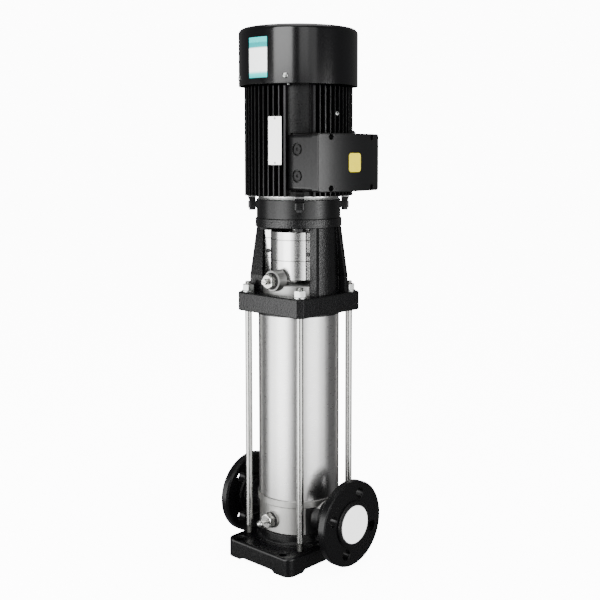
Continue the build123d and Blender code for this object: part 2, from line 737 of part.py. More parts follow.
# ------------------------------------------------------------------ motor frame
# Finned aluminium housing: four groups of radial cooling fins, smooth corner lands
# between them with a heavier fin at each edge, and the seat of the terminal box.
with BuildPart() as fin_gap:
    with BuildSketch(Plane.YZ.offset(box_back_x - 0.3)):
        with Locations((0, box_mid_z)):
            Rectangle(2 * box_half_y + 1.6, box_top_z - box_bottom_z + 6)
    extrude(amount=fin_tip_r)
    ring(frame_wall_r, 0, box_bottom_z - 10, box_top_z + 10, mode=Mode.SUBTRACT)

fin_half = (fin_tip_r - frame_wall_r) / 2 + 0.3
fin_mid_r = (frame_wall_r + fin_tip_r) / 2
group_half_angle = fin_pitch_deg * (fins_per_group - 1) / 2
with BuildPart() as motor_frame:
    ring(frame_wall_r, frame_bore_r, shield_top_z, frame_top_z)
    with BuildSketch(Plane.XY.offset(fin_bottom_z)):
        Circle(land_r)
        Circle(frame_bore_r, mode=Mode.SUBTRACT)
        for group in (0, 90, 180, 270):
            edge_a = (140 * cos(radians(group - group_half_angle)), 140 * sin(radians(group - group_half_angle)))
            edge_b = (140 * cos(radians(group + group_half_angle)), 140 * sin(radians(group + group_half_angle)))
            with BuildLine():
                Polyline((0, 0), edge_a, edge_b, close=True)
            make_face(mode=Mode.SUBTRACT)
        for group in (0, 90, 180, 270):
            with PolarLocations(fin_mid_r, fins_per_group - 2, start_angle=group - group_half_angle + fin_pitch_deg,
                                angular_range=2 * (group_half_angle - fin_pitch_deg), endpoint=True):
                Polygon((-fin_half, -1.6), (fin_half, -0.9), (fin_half, 0.9), (-fin_half, 1.6))
            with PolarLocations(fin_mid_r, 2, start_angle=group - group_half_angle,
                                angular_range=2 * group_half_angle, endpoint=True):
                Polygon((-fin_half, -2.2), (fin_half, -1.7), (fin_half, 1.7), (-fin_half, 2.2))
    extrude(amount=frame_top_z - fin_bottom_z)
    # The fin tips are bevelled under the fan cover.
    turned([(fin_bevel_r, fin_bevel_z + 9), (fin_tip_r + 1, fin_bevel_z), (fin_tip_r + 6, fin_bevel_z),
            (fin_tip_r + 6, frame_top_z + 1), (fin_bevel_r, frame_top_z + 1)], mode=Mode.SUBTRACT)
    # Tapered corner bosses take the shield bolts; two of them end under the terminal box.
    for angle in diagonals:
        along = Plane(origin=(0, 0, 0), x_dir=(cos(radians(angle)), sin(radians(angle)), 0),
                      z_dir=(sin(radians(angle)), -cos(radians(angle)), 0))
        with BuildSketch(along):
            with BuildLine():
                Polyline((68.0, boss_bottom_z), (82.0, boss_bottom_z), (86.5, 612.0), (86.5, 618.0), (77.0, 632.0),
                         (68.0, 632.0), close=True)
            make_face()
        extrude(amount=boss_half_width, both=True)
    ring(frame_bore_r, 0, boss_bottom_z - 1, frame_top_z, mode=Mode.SUBTRACT)
    ring(frame_wall_r, 0, boss_bottom_z - 1, shield_top_z, mode=Mode.SUBTRACT)
    with Locations(Plane(origin=(0, 0, boss_bottom_z), z_dir=(0, 0, -1))):
        with PolarLocations(shield_bolt_r, 4, start_angle=45):
            Hole(3.1, depth=16.8)
    # Seat of the terminal box: the +X side is cut back to the wall round a flat pad.
    add(fin_gap.part, mode=Mode.SUBTRACT)
    with BuildSketch(Plane.YZ.offset(62.0)):
        with Locations((0, box_mid_z)):
            Rectangle(84.0, 80.0)
    extrude(amount=box_floor_x - 62.0)
    ring(frame_bore_r, 0, box_bottom_z - 10, box_top_z + 10, mode=Mode.SUBTRACT)

# ------------------------------------------------------------------ motor inner parts
with BuildPart() as stator_core:
    ring(frame_bore_r - 0.1, rotor_r + air_gap, stator_bottom_z, stator_top_z)

with BuildPart() as stator_windings:
    for bottom, top in ((stator_bottom_z - 20, stator_bottom_z), (stator_top_z, stator_top_z + 20)):
        ring(60.0, 44.0, bottom, top)

with BuildPart() as rotor_core:
    ring(rotor_r, 16.02, stator_bottom_z, stator_top_z)

with BuildPart() as bearing_outer_rings:
    for bottom in (lower_bearing_z, upper_bearing_z):
        ring(bearing_r, 16.5, bottom, bottom + bearing_width)

with BuildPart() as bearing_inner_rings:
    for bottom in (lower_bearing_z, upper_bearing_z):
        ring(16.0, bearing_bore_r + 0.02, bottom, bottom + bearing_width)

# ------------------------------------------------------------------ cooling fan and cover
fan_blades = 8
with BuildPart() as cooling_fan:
    ring(17.0, 10.02, 818.0, 840.0)
    ring(62.0, 10.02, 818.0, 820.5)
    with BuildSketch(Plane.XY.offset(818.0)):
        with PolarLocations(48.0, fan_blades):
            Rectangle(66.0, 2.2)
    extrude(amount=24.0)
    ring(10.02, 0, 817.0, 843.0, mode=Mode.SUBTRACT)

slot_rings = ((66.0, 72.0), (52.0, 58.0), (38.0, 44.0), (24.0, 30.0))
slot_spokes = 6
with BuildPart() as fan_cover:
    # Pressed steel cowl: straight wall, rounded top edge and a flat slotted crown.
    with BuildSketch(Plane.XZ):
        with BuildLine():
            wall_line = Line((cover_r, cover_bottom_z), (cover_r, cover_top_z - cover_corner_r))
            corner = RadiusArc(wall_line @ 1, (cover_r - cover_corner_r, cover_top_z), -cover_corner_r)
            inner_corner_r = cover_corner_r - cover_sheet
            Polyline(corner @ 1, (0, cover_top_z), (0, cover_top_z - cover_sheet),
                     (cover_r - cover_corner_r, cover_top_z - cover_sheet))
            inner = RadiusArc((cover_r - cover_corner_r, cover_top_z - cover_sheet),
                              (cover_r - cover_sheet, cover_top_z - cover_corner_r), inner_corner_r)
            Polyline(inner @ 1, (cover_r - cover_sheet, cover_bottom_z), wall_line @ 0)
        make_face()
    revolve(axis=Axis.Z)
    with BuildSketch(Plane.XY.offset(cover_top_z)):
        for slot_inner, slot_outer in slot_rings:
            Circle(slot_outer)
            Circle(slot_inner, mode=Mode.SUBTRACT)
        with PolarLocations(0, slot_spokes):
            with Locations((cover_r / 2, 0)):
                Rectangle(cover_r, 6.0, mode=Mode.SUBTRACT)
    extrude(amount=-2 * cover_sheet, mode=Mode.SUBTRACT)
    for y_side in (1, -1):
        for swing in (-cover_screw_angle, cover_screw_angle):
            with BuildSketch(polar_plane(y_side * 90 + swing, cover_r + 1, cover_screw_z)):
                Circle(2.7)
            extrude(amount=-5.0, mode=Mode.SUBTRACT)

with BuildPart() as cover_screws:
    for y_side in (1, -1):
        for swing in (-cover_screw_angle, cover_screw_angle):
            screw(polar_plane(y_side * 90 + swing, cover_r, cover_screw_z), 2.0, 12.0, 4.4, 2.0)

# ------------------------------------------------------------------ terminal box
# Box base: its back hugs the motor, its floor sits on the motor's pad, and the two wings
# beside the pad hold the cable entries.
box_height = box_top_z - box_bottom_z
wing_inner_y = 46.0
wing_wall = 5.0
box_hollow_r = frame_wall_r + 1.0
with BuildPart() as wing_space:
    with BuildSketch(Plane.YZ.offset(box_back_x + wing_wall)):
        for y_side in (1, -1):
            with Locations((y_side * (box_half_y - wing_wall + wing_inner_y + wing_wall) / 2, box_mid_z)):
                Rectangle(box_half_y - wing_inner_y - 2 * wing_wall, box_height - 2 * wing_wall)
    extrude(amount=50.0)
    ring(box_hollow_r + wing_wall, 0, box_bottom_z - 1, box_top_z + 1, mode=Mode.SUBTRACT)

with BuildPart() as terminal_box:
    with BuildSketch(Plane.YZ.offset(box_back_x)):
        with Locations((0, box_mid_z)):
            RectangleRounded(2 * box_half_y, box_height, 5.0)
    extrude(amount=box_floor_x - box_back_x)
    with BuildSketch(Plane.YZ.offset(box_floor_x)):
        with Locations((0, box_mid_z)):
            RectangleRounded(2 * box_half_y + 1.6, box_height + 1.6, 5.8)
    extrude(amount=box_rim_x - box_floor_x)
    with BuildSketch(Plane.YZ.offset(box_back_x)):
        with Locations((0, box_mid_z)):
            Rectangle(2 * wing_inner_y, box_height + 4)
    extrude(amount=box_floor_x - box_back_x, mode=Mode.SUBTRACT)
    with BuildSketch(Plane.YZ.offset(box_floor_x - 4)):
        with Locations((0, box_mid_z)):
            Rectangle(2 * wing_inner_y, box_height)
    extrude(amount=4.0)
    ring(box_hollow_r, 0, box_bottom_z - 1, box_top_z + 1, mode=Mode.SUBTRACT)
    with BuildSketch(Plane.YZ.offset(box_floor_x)):
        with Locations((0, box_mid_z)):
            Rectangle(84.4, 80.4)
    extrude(amount=-10.0, mode=Mode.SUBTRACT)
    with BuildSketch(Plane.YZ.offset(box_floor_x)):
        with Locations((0, box_mid_z)):
            Rectangle(84.4, 80.4)
    extrude(amount=3.0)
    with BuildSketch(Plane.YZ.offset(box_floor_x + 9.0)):
        with Locations((0, box_mid_z)):
            RectangleRounded(2 * box_half_y - 8, box_height - 8, 3.0)
        with Locations((0, box_mid_z)):
            with GridLocations(2 * lid_screw_y, 2 * lid_screw_dz, 2, 2):
                Circle(6.0, mode=Mode.SUBTRACT)
    extrude(amount=20.0, mode=Mode.SUBTRACT)
    add(wing_space.part, mode=Mode.SUBTRACT)
    for plug_z in (plug_upper_z, plug_lower_z):
        with BuildSketch(Plane.XZ.offset(box_half_y)):
            with Locations((plug_x, plug_z)):
                Circle(entry_r)
        extrude(amount=-8.0, mode=Mode.SUBTRACT)
        with BuildSketch(Plane.XZ.offset(box_half_y)):
            with Locations((plug_x, plug_z)):
                Circle(entry_sink_r)
        extrude(amount=-entry_sink, mode=Mode.SUBTRACT)
    with Locations(Plane(origin=(box_rim_x, 0, box_mid_z), x_dir=(0, 1, 0), z_dir=(1, 0, 0))):
        with GridLocations(2 * lid_screw_y, 2 * lid_screw_dz, 2, 2):
            Hole(2.1, depth=12.0)

with BuildPart() as terminal_gasket:
    with BuildSketch(Plane.YZ.offset(box_rim_x)):
        with Locations((0, box_mid_z)):
            RectangleRounded(2 * box_half_y, box_height, 5.0)
            RectangleRounded(2 * box_half_y - 8, box_height - 8, 3.0, mode=Mode.SUBTRACT)
            with GridLocations(2 * lid_screw_y, 2 * lid_screw_dz, 2, 2):
                Circle(3.0, mode=Mode.SUBTRACT)
    extrude(amount=lid_back_x - box_rim_x)

# Lid: a crowned tray with rounded corners and four sunk screw pockets.
with BuildPart() as lid_hollow:
    with BuildSketch(Plane.XY.offset(lid_bottom_z + 3.5)):
        with BuildLine():
            shelf = Polyline((lid_edge_x - 3.5, -lid_half_y + 4), (lid_back_x - 1, -lid_half_y + 4),
                             (lid_back_x - 1, lid_half_y - 4), (lid_edge_x - 3.5, lid_half_y - 4))
            ThreePointArc(shelf @ 1, (lid_crown_x - 3.5, 0), shelf @ 0)
        make_face()
    extrude(amount=lid_top_z - lid_bottom_z - 7)
    with BuildSketch(Plane.YZ.offset(lid_back_x - 1)):
        with Locations((0, box_mid_z)):
            with GridLocations(2 * lid_screw_y, 2 * lid_screw_dz, 2, 2):
                Circle(7.5)
    extrude(amount=40.0, mode=Mode.SUBTRACT)

with BuildPart() as terminal_lid:
    with BuildSketch(Plane.XY.offset(lid_bottom_z)):
        with BuildLine():
            back = Polyline((lid_edge_x, -lid_half_y), (lid_back_x, -lid_half_y), (lid_back_x, lid_half_y),
                            (lid_edge_x, lid_half_y))
            ThreePointArc(back @ 1, (lid_crown_x, 0), back @ 0)
        make_face()
    extrude(amount=lid_top_z - lid_bottom_z)
    corner_edges = terminal_lid.edges().filter_by(Axis.X)
    fillet(corner_edges, 5.0)
    fillet(terminal_lid.faces().sort_by(Axis.X)[-1].edges(), 1.8)
    add(lid_hollow.part, mode=Mode.SUBTRACT)
    with Locations(Plane(origin=(lid_crown_x, 0, box_mid_z), x_dir=(0, 1, 0), z_dir=(1, 0, 0))):
        with GridLocations(2 * lid_screw_y, 2 * lid_screw_dz, 2, 2):
            CounterBoreHole(2.6, 4.8, lid_crown_x - 105.0)

with BuildPart() as lid_screws:
    for y in (-lid_screw_y, lid_screw_y):
        for dz in (-lid_screw_dz, lid_screw_dz):
            seat = Plane(origin=(105.0, y, box_mid_z + dz), x_dir=(0, 1, 0), z_dir=(1, 0, 0))
            screw(seat, 2.0, 18.0, 3.8, 3.0)

with BuildPart() as cable_plugs:
    for plug_z in (plug_upper_z, plug_lower_z):
        entry = Plane(origin=(plug_x, entry_sink - box_half_y, plug_z), x_dir=(1, 0, 0), z_dir=(0, -1, 0))
        screw(entry, entry_r - 0.2, 6.0, 7.4, 2.6)
        with BuildSketch(entry.offset(2.6)):
            RegularPolygon(2.6, 6)
        extrude(amount=-1.6, mode=Mode.SUBTRACT)

with BuildPart() as terminal_block:
    with BuildSketch(Plane.YZ.offset(box_floor_x + 9.0)):
        with Locations((0, box_mid_z)):
            Rectangle(58.0, 34.0)
    extrude(amount=8.0)
    with BuildSketch(Plane.YZ.offset(box_floor_x + 17.0)):
        with Locations((0, box_mid_z)):
            with GridLocations(18.0, 18.0, 3, 2):
                RegularPolygon(4.0, 6)
    extrude(amount=5.0)

# ------------------------------------------------------------------ labels and files
pieces = {
    "base_plate": base_plate,
    "port_chamber": port_chamber,
    "suction_neck": suction_neck,
    "discharge_neck": discharge_neck,
    "suction_collar": suction_collar,
    "discharge_collar": discharge_collar,
    "suction_flange": suction_flange,
    "discharge_flange": discharge_flange,
    "suction_cap": suction_cap,
    "discharge_cap": discharge_cap,
    "drain_washer": drain_washer,
    "drain_plug": drain_plug,
    "drain_screw": drain_screw,
    "outer_sleeve": outer_sleeve,
    "lower_gasket": lower_gasket,
    "upper_gasket": upper_gasket,
    "pump_head": pump_head,
    "vent_washer": vent_washer,
    "vent_plug": vent_plug,
    "vent_screw": vent_screw,
    "tie_rods": tie_rods,
    "tie_rod_washers": tie_rod_washers,
    "tie_rod_nuts": tie_rod_nuts,
    "motor_stool": motor_stool,
    "guard_front": guard_front,
    "guard_rear": guard_rear,
    "guard_screws": guard_screws,
    "coupling_half_front": coupling_half_front,
    "coupling_half_rear": coupling_half_rear,
    "coupling_bolts": coupling_bolts,
    "pump_shaft": pump_shaft,
    "motor_shaft": motor_shaft,
    "seal_seat": seal_seat,
    "seal_rotor": seal_rotor,
    "seal_gland": seal_gland,
    "impellers": impellers,
    "stage_chambers": stage_chambers,
    "clamp_straps": clamp_straps,
    "drive_end_shield": drive_end_shield,
    "fan_end_shield": fan_end_shield,
    "stool_bolts": stool_bolts,
    "shield_bolts": shield_bolts,
    "motor_frame": motor_frame,
    "stator_core": stator_core,
    "stator_windings": stator_windings,
    "rotor_core": rotor_core,
    "bearing_outer_rings": bearing_outer_rings,
    "bearing_inner_rings": bearing_inner_rings,
    "cooling_fan": cooling_fan,
    "fan_cover": fan_cover,
    "cover_screws": cover_screws,
    "terminal_box": terminal_box,
    "terminal_gasket": terminal_gasket,
    "terminal_lid": terminal_lid,
    "lid_screws": lid_screws,
    "cable_plugs": cable_plugs,
    "terminal_block": terminal_block,
}

for label, piece in pieces.items():
    piece.part.label = label
    export_step(piece.part, f"parts/{label}.step")
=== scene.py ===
import json
from math import cos, pi, radians, sin, sqrt, tan

import bmesh
import bpy
from mathutils import Matrix, Vector


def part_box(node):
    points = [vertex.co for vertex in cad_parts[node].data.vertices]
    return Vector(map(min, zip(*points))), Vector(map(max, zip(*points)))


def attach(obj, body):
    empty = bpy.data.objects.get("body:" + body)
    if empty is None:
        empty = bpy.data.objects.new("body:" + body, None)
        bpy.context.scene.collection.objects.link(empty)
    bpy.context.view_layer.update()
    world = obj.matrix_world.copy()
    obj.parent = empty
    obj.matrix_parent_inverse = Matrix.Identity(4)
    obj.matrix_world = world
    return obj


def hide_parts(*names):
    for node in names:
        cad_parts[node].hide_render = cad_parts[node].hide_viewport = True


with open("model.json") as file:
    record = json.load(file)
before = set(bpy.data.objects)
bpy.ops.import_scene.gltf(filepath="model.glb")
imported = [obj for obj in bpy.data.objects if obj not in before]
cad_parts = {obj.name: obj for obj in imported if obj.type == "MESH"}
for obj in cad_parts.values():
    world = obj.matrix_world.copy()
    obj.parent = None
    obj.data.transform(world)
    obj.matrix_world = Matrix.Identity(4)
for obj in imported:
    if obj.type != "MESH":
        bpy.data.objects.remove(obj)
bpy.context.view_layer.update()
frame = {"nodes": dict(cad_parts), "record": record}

MM = 0.001
UP = Vector((0, 0, 1))
CAMERA_AZIMUTH = -46.1
FILL_LEVEL = 1.7
MIRROR_LEVEL = 0.16
BACKDROP_LEVEL = 12.0
FLOOR_GLOW = 10.5


# ---------------------------------------------------------------- material helpers
def colour(hex_code, alpha=1.0):
    """Linear colour of an sRGB hex value such as "c8c9c7"."""
    channels = []
    for start in (0, 2, 4):
        value = int(hex_code[start:start + 2], 16) / 255
        channels.append(value / 12.92 if value <= 0.04045 else ((value + 0.055) / 1.055) ** 2.4)
    return (*channels, alpha)


def add_node(material, kind, inputs=None, **settings):
    """Adds a node with its settings; an input is a constant or another node's output."""
    node = material.node_tree.nodes.new(kind)
    for key, value in settings.items():
        setattr(node, key, value)
    for key, value in (inputs or {}).items():
        if isinstance(value, bpy.types.NodeSocket):
            material.node_tree.links.new(value, node.inputs[key])
        else:
            node.inputs[key].default_value = value
    return node


def worked_surface(name, shades, patch_mm, roughness, grain_mm, relief_mm, strength=0.5, run=(1, 1, 1),
                   detail=2.0, edge_mm=0.4, metallic=0.0, ior=None, gloss=0.5):
    """A finished surface: shades drift over patch_mm, and roughness and relief follow a
    grain of grain_mm, drawn out along an axis where run is small; edges are eased."""
    material = bpy.data.materials.new(name)
    material.use_nodes = True
    shader = material.node_tree.nodes["Principled BSDF"]
    shader.inputs["Metallic"].default_value = metallic
    shader.inputs["Specular IOR Level"].default_value = gloss
    if ior:
        shader.inputs["IOR"].default_value = ior
    place = add_node(material, "ShaderNodeTexCoord").outputs["Object"]
    patches = add_node(material, "ShaderNodeTexNoise", {"Vector": place, "Scale": 1 / (patch_mm * MM), "Detail": 2.0})
    drawn = add_node(material, "ShaderNodeMapping", {"Vector": place, "Scale": run})
    grain = add_node(material, "ShaderNodeTexNoise", {
        "Vector": drawn.outputs["Vector"], "Scale": 1 / (grain_mm * MM), "Detail": detail})
    tint = add_node(material, "ShaderNodeMix", {
        0: patches.outputs["Fac"], 6: colour(shades[0]), 7: colour(shades[1])}, data_type="RGBA")
    polish = add_node(material, "ShaderNodeMapRange", {
        "Value": grain.outputs["Fac"], "From Min": 0.3, "From Max": 0.7, "To Min": roughness[0],
        "To Max": roughness[1]})
    eased = add_node(material, "ShaderNodeBevel", {"Radius": edge_mm * MM}, samples=4)
    relief = add_node(material, "ShaderNodeBump", {
        "Height": grain.outputs["Fac"], "Distance": relief_mm * MM, "Strength": strength,
        "Normal": eased.outputs["Normal"]})
    for socket, output in (("Base Color", tint.outputs[2]), ("Roughness", polish.outputs["Result"]),
                           ("Normal", relief.outputs["Normal"])):
        material.node_tree.links.new(output, shader.inputs[socket])
    return material


def height_mask(material, low, high):
    """1 between two heights in millimetres on the object, 0 outside them."""
    place = add_node(material, "ShaderNodeTexCoord").outputs["Object"]
    z = add_node(material, "ShaderNodeSeparateXYZ", {"Vector": place}).outputs["Z"]
    above = add_node(material, "ShaderNodeMath", {0: z, 1: low * MM}, operation="GREATER_THAN")
    below = add_node(material, "ShaderNodeMath", {0: z, 1: high * MM}, operation="LESS_THAN")
    return add_node(material, "ShaderNodeMath", {0: above.outputs[0], 1: below.outputs[0]},
                    operation="MULTIPLY").outputs[0]


def shader_of(material):
    return material.node_tree.nodes["Principled BSDF"]


def source_of(material, socket):
    """The output that already feeds one of the shader's sockets."""
    return shader_of(material).inputs[socket].links[0].from_socket


def tint_under(material, mask, hex_code):
    """Lays another colour over the surface's own where the mask is 1."""
    tint = add_node(material, "ShaderNodeMix", {
        0: mask, 6: source_of(material, "Base Color"), 7: colour(hex_code)}, data_type="RGBA")
    material.node_tree.links.new(tint.outputs[2], shader_of(material).inputs["Base Color"])


# ---------------------------------------------------------------- materials
def black_cast_iron():
    """Fettled grey iron under black enamel: deep black and glossy, gently uneven, with
    dimples about 3 mm apart and edges rounded by the enamel."""
    return worked_surface("enamelled_fettled_cast_iron", ("030304", "060607"), 30.0, (0.24, 0.32), 3.2, 0.06, 0.5,
                          edge_mm=1.1, ior=1.5, gloss=0.3)


def sand_skin_iron():
    """Grey iron left with its sand-mould skin under the enamel: every grain of the sand,
    2 to 3 mm from dimple to dimple, catches the light."""
    return worked_surface("enamelled_sand_skin_cast_iron", ("030304", "060607"), 30.0, (0.18, 0.34), 2.6, 0.6, 0.9,
                          detail=3.0, edge_mm=0.9, ior=1.5, gloss=0.36)


def bead_blasted_stainless():
    """Stainless casting blasted with glass beads: an even, soft grey sheen without lines.
    Where the chamber meets the necks it is painted black: partly the black enamel of the ports, partly painted shade
    and a painted reflection of the black flanges."""
    material = worked_surface("bead_blasted_stainless", ("a2a2a0", "b0b0ad"), 25.0, (0.36, 0.46), 0.8, 0.03, 0.4,
                              edge_mm=0.6, metallic=1.0)
    place = add_node(material, "ShaderNodeTexCoord").outputs["Object"]
    x = add_node(material, "ShaderNodeSeparateXYZ", {"Vector": place}).outputs["X"]
    reach = add_node(material, "ShaderNodeMath", {0: x}, operation="ABSOLUTE").outputs[0]
    outside = add_node(material, "ShaderNodeMath", {0: reach, 1: 53.5 * MM}, operation="GREATER_THAN").outputs[0]
    enamel_and_painted_shade = add_node(material, "ShaderNodeMath", {0: outside, 1: height_mask(material, 50.0, 94.0)},
                      operation="MULTIPLY").outputs[0]
    bare = add_node(material, "ShaderNodeMath", {0: 1.0, 1: enamel_and_painted_shade}, operation="SUBTRACT").outputs[0]
    # Painted black round the neck roots: the ports' enamel, with painted shade and a painted reflection of the
    # flanges.
    tint_under(material, enamel_and_painted_shade, "050506")
    material.node_tree.links.new(bare, shader_of(material).inputs["Metallic"])
    return material


def drawn_stainless():
    """Welded stainless tube, ground and polished round its axis: it mirrors the lamps as
    tall soft bands."""
    return worked_surface("polished_stainless_tube", ("bcbcbb", "c6c6c5"), 45.0, (0.27, 0.33), 1.2, 0.01, 0.3,
                          run=(0.15, 0.15, 1.0), detail=3.0, metallic=1.0)


def bright_sheet():
    """Bright-rolled stainless sheet: a clean mirror, blurred a little along the rolling lines. The two shallow grooves
    that stiffen a guard are painted on as darker bands: painted shade."""
    material = worked_surface("bright_rolled_stainless_sheet", ("cdcdcc", "d6d6d5"), 60.0, (0.20, 0.27), 0.9, 0.003,
                              0.2, run=(0.1, 0.1, 1.0), metallic=1.0)
    # The two grooves are coloured darker grey: painted shade of the grooves.
    lower = height_mask(material, 500.2, 501.8)
    upper = height_mask(material, 534.2, 535.8)
    painted_groove_shade = add_node(material, "ShaderNodeMath", {0: lower, 1: upper}, operation="ADD")
    tint_under(material, painted_groove_shade.outputs[0], "858584")
    return material


def turned_stainless():
    """Turned stainless bar: bright, with tool rings too fine to feel."""
    return worked_surface("turned_stainless", ("b9b9b6", "c6c6c3"), 12.0, (0.20, 0.30), 0.8, 0.006, 0.2,
                          run=(0.3, 0.3, 1.0), metallic=1.0)


def rolled_rod():
    """Cold-drawn stainless rod: drawn lines run along it, 0.4 mm apart. The thread at its foot is painted darker:
    painted shade of the thread's grooves."""
    material = worked_surface("cold_drawn_stainless_rod", ("9c9c9a", "aaaaa7"), 20.0, (0.20, 0.30), 0.4, 0.003, 0.2,
                              run=(1.0, 1.0, 0.02), metallic=1.0)
    painted_thread_shade = height_mask(material, 30.0, 44.5)
    # Darker grey over the threaded foot: painted shade of the thread.
    tint_under(material, painted_thread_shade, "5c5c5a")
    return material


def zinc_plate():
    """Bright zinc plating on steel fasteners: slightly cloudy silver."""
    return worked_surface("bright_zinc_plate", ("969898", "b2b4b2"), 3.0, (0.18, 0.28), 3.0, 0.02, 0.3,
                          detail=3.0, metallic=1.0)


def cast_stainless():
    """Investment-cast stainless, as cast: darker grey with a fine matte grain."""
    return worked_surface("investment_cast_stainless", ("8b8b8a", "9a9a98"), 18.0, (0.38, 0.50), 1.0, 0.05, 0.5,
                          detail=3.0, edge_mm=0.8, metallic=1.0)


def painted_aluminium():
    """Die-cast aluminium under black stoving paint: semi-gloss with a slight orange peel."""
    return worked_surface("black_stoved_cast_aluminium", ("030304", "050506"), 20.0, (0.26, 0.38), 2.5, 0.12, 0.6,
                          edge_mm=0.6, ior=1.5, gloss=0.35)


def bare_band(name, low, high):
    """The same paint, with a band between two heights turned bright after painting."""
    material = painted_aluminium()
    material.name = name
    bare = height_mask(material, low, high)
    tint_under(material, bare, "d4d5d4")
    material.node_tree.links.new(bare, shader_of(material).inputs["Metallic"])
    return material


def painted_sheet():
    """Pressed steel under smooth satin black paint: wide, soft highlights."""
    return worked_surface("satin_black_painted_steel", ("030304", "050506"), 40.0, (0.15, 0.19), 1.6, 0.012, 0.3,
                          edge_mm=0.6, ior=1.5)


def powder_coat():
    """Black powder coat on die-cast covers: even satin with a very fine texture."""
    return worked_surface("black_powder_coat", ("040405", "060607"), 35.0, (0.32, 0.40), 0.9, 0.02, 0.4,
                          edge_mm=0.7, ior=1.5)


def black_oxide():
    """Oil-blackened steel fasteners: dark, with a dull metallic glint."""
    return worked_surface("black_oxide_steel", ("141415", "202021"), 2.0, (0.30, 0.45), 2.0, 0.02, 0.3, metallic=0.6)


def ground_steel():
    """Turned and ground carbon steel: grey rings round the shaft."""
    return worked_surface("ground_steel", ("8f8f8d", "a3a3a1"), 10.0, (0.24, 0.38), 0.6, 0.005, 0.3,
                          run=(0.3, 0.3, 1.0), metallic=1.0)


def laminations():
    """Stacked electrical sheets, 0.5 mm each, drawn at 2 mm so that the layers show."""
    return worked_surface("stacked_silicon_steel", ("6c6d6e", "8a8b8c"), 12.0, (0.40, 0.55), 2.0, 0.05, 0.5,
                          run=(0.02, 0.02, 1.0), metallic=1.0)


def varnished_copper():
    """Enamelled copper windings under amber varnish: rounded turns, 1.4 mm thick."""
    return worked_surface("varnished_copper_winding", ("6d2f16", "a5552c"), 3.0, (0.30, 0.50), 1.4, 0.30, 1.0,
                          run=(1, 1, 3), detail=3.0, metallic=0.8)


def moulded_rubber():
    """Black nitrile rubber: dull, slightly dusty."""
    return worked_surface("moulded_nitrile_rubber", ("040404", "080808"), 6.0, (0.55, 0.72), 1.0, 0.02, 0.3, ior=1.52)


def carbon_ring():
    """Ground carbon-graphite seal faces: slate black with a greasy sheen."""
    return worked_surface("ground_carbon_graphite", ("1c1c1e", "2b2b2e"), 5.0, (0.30, 0.40), 0.5, 0.005, 0.3)


def white_polyethylene():
    """Moulded white polyethylene: waxy and faintly cloudy."""
    return worked_surface("white_moulded_polyethylene", ("fafafa", "ffffff"), 6.0, (0.38, 0.50), 0.8, 0.02, 0.3,
                          ior=1.51)


def black_nylon():
    """Moulded black polyamide: the mould's spark-eroded grain, 0.7 mm."""
    return worked_surface("moulded_black_polyamide", ("040405", "070707"), 8.0, (0.36, 0.48), 0.7, 0.04, 0.4, ior=1.53,
                          gloss=0.35)


FINISHES = {
    "black_cast_iron": black_cast_iron(),
    "satin_stainless": bead_blasted_stainless(),
    "polished_stainless": drawn_stainless(),
    "bright_stainless_sheet": bright_sheet(),
    "turned_stainless": turned_stainless(),
    "plated_steel": zinc_plate(),
    "cast_stainless": cast_stainless(),
    "black_painted_aluminium": painted_aluminium(),
    "black_painted_sheet": painted_sheet(),
    "black_powder_coat": powder_coat(),
    "black_oxide_steel": black_oxide(),
    "machined_steel": ground_steel(),
    "silicon_steel": laminations(),
    "enamelled_copper": varnished_copper(),
    "black_rubber": moulded_rubber(),
    "seal_carbon": carbon_ring(),
    "white_plastic": white_polyethylene(),
    "black_plastic": black_nylon(),
}
NODE_FINISHES = {
    "motor_stool": sand_skin_iron(),
    "drive_end_shield": bare_band("stoved_shield_with_bare_spigot", 602.0, 606.2),
    "motor_frame": bare_band("stoved_frame_with_bare_foot", 605.0, 607.9),
    "guard_screws": FINISHES["black_oxide_steel"],
}


def dress_cad_nodes():
    """Every CAD node takes the finish of its material slot, or its own where it has one."""
    for part in frame["record"]["subparts"]:
        node = frame["nodes"][part["node"]]
        node.data.materials.clear()
        node.data.materials.append(NODE_FINISHES.get(part["node"], FINISHES[part["material_slot"]]))


dress_cad_nodes()


# ---------------------------------------------------------------- mesh helpers
SEGMENTS = 64


def polar_frame(angle, radius, z):
    """Local frame on an upright wall, in mm: Z points outward, X points up."""
    out = Vector((cos(radians(angle)), sin(radians(angle)), 0))
    matrix = Matrix.Identity(4)
    for row in range(3):
        matrix[row][0] = UP[row]
        matrix[row][1] = out.cross(UP)[row]
        matrix[row][2] = out[row]
    matrix.translation = Vector((radius * out.x, radius * out.y, z))
    return matrix


def upright_frame(x, y, z, facing=1):
    """Local frame in mm with Z up, or down where facing is -1."""
    matrix = Matrix.Identity(4)
    if facing < 0:
        matrix = Matrix.Rotation(pi, 4, "X")
    matrix.translation = Vector((x, y, z))
    return matrix


def new_piece(name, slot, body, build, replaced=(), finish=None, sharp=35):
    """Makes a mesh piece in mm from a build(bm) function, and lets it ride on a body."""
    bm = bmesh.new()
    build(bm)
    bmesh.ops.remove_doubles(bm, verts=bm.verts, dist=1e-4)
    bmesh.ops.recalc_face_normals(bm, faces=bm.faces)
    mesh = bpy.data.meshes.new(name)
    bm.transform(Matrix.Scale(MM, 4))
    bm.to_mesh(mesh)
    bm.free()
    mesh.shade_smooth()
    mesh.set_sharp_from_angle(angle=radians(sharp))
    mesh.materials.append(finish or FINISHES[slot])
    piece = bpy.data.objects.new(name, mesh)
    bpy.context.collection.objects.link(piece)
    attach(piece, body)
    if replaced:
        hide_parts(*replaced)
    return piece


